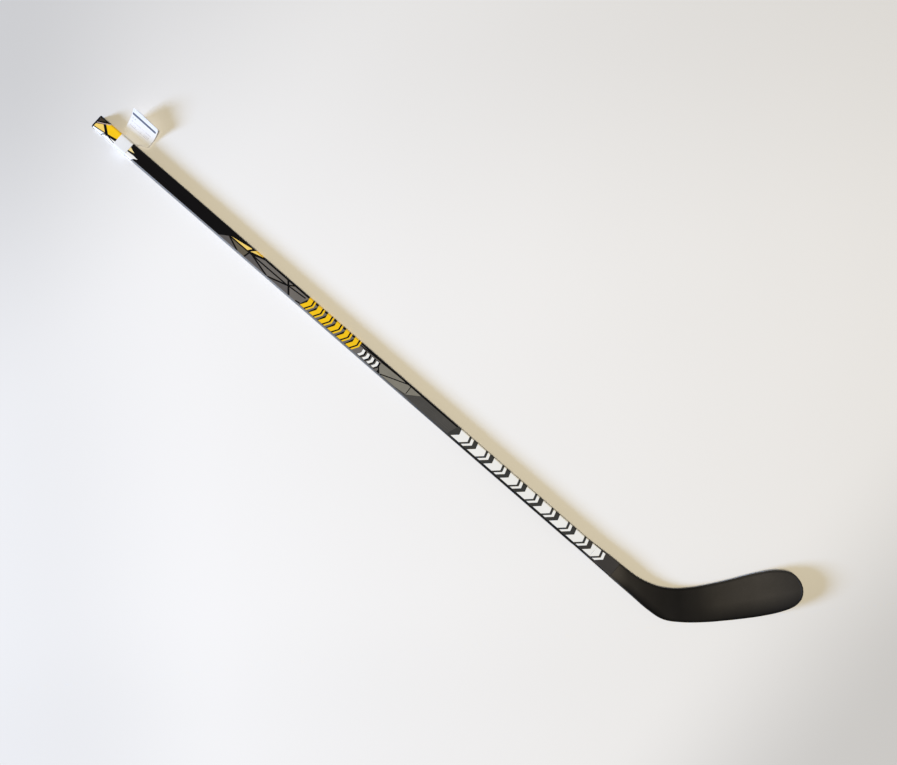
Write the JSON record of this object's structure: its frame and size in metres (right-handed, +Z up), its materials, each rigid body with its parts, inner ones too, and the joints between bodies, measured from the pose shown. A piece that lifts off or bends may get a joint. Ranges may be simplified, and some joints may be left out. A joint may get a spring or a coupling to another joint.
{
  "type": "ice hockey stick",
  "caption": "Junior composite ice hockey stick with a hollow shaft, a fused left-hand curved blade and a paper price label that swings on its crease.",
  "frame": {"origin": "the middle of the flat of the blade's sole, where the stick stands on the ice in its playing position", "axes": "+Z up from the ice, +X along the ice from the heel to the toe, +Y away from the forehand face; the shaft climbs towards -X at 46 degrees to the ice"},
  "size_m": [1.1698, 0.0328, 0.9817],
  "materials": {
    "shaft_paint": "gloss lacquer over printed black, grey, yellow and white panels",
    "moulded_black": "moulded, slightly satin",
    "carbon_ply": "sanded ply under matte lacquer",
    "tenon_composite": "raw composite",
    "rim_resin": "satin resin bead",
    "blade_forehand_matte": "matte, fine texture",
    "blade_backhand_matte": "matte, fine texture",
    "blade_foam": "rigid closed-cell foam",
    "spar_composite": "raw composite",
    "label_paper": "uncoated white label paper",
    "label_flag_paper": "uncoated white label paper with a printed grey-blue band"
  },
  "bodies": {
    "stick": {"shaft_tube": "shaft_paint", "butt_end_plug": "moulded_black", "hosel_joint_sleeve": "carbon_ply", "tenon_block": "tenon_composite", "blade_edge_binding": "rim_resin", "blade_forehand_skin": "blade_forehand_matte", "blade_backhand_skin": "blade_backhand_matte", "blade_foam_core_lower": "blade_foam", "blade_foam_core_upper": "blade_foam", "blade_spar": "spar_composite", "price_label_wrap": "label_paper"},
    "label_flag": {"price_label_flag": "label_flag_paper"}
  },
  "joints": [
    {"name": "label_crease", "type": "hinge", "parent": "stick", "child": "label_flag", "pos_m": [-0.96588, 0.0015, 0.93246], "axis": [0.6947, 0, -0.7193], "range_deg": [-10, 80]}
  ]
}
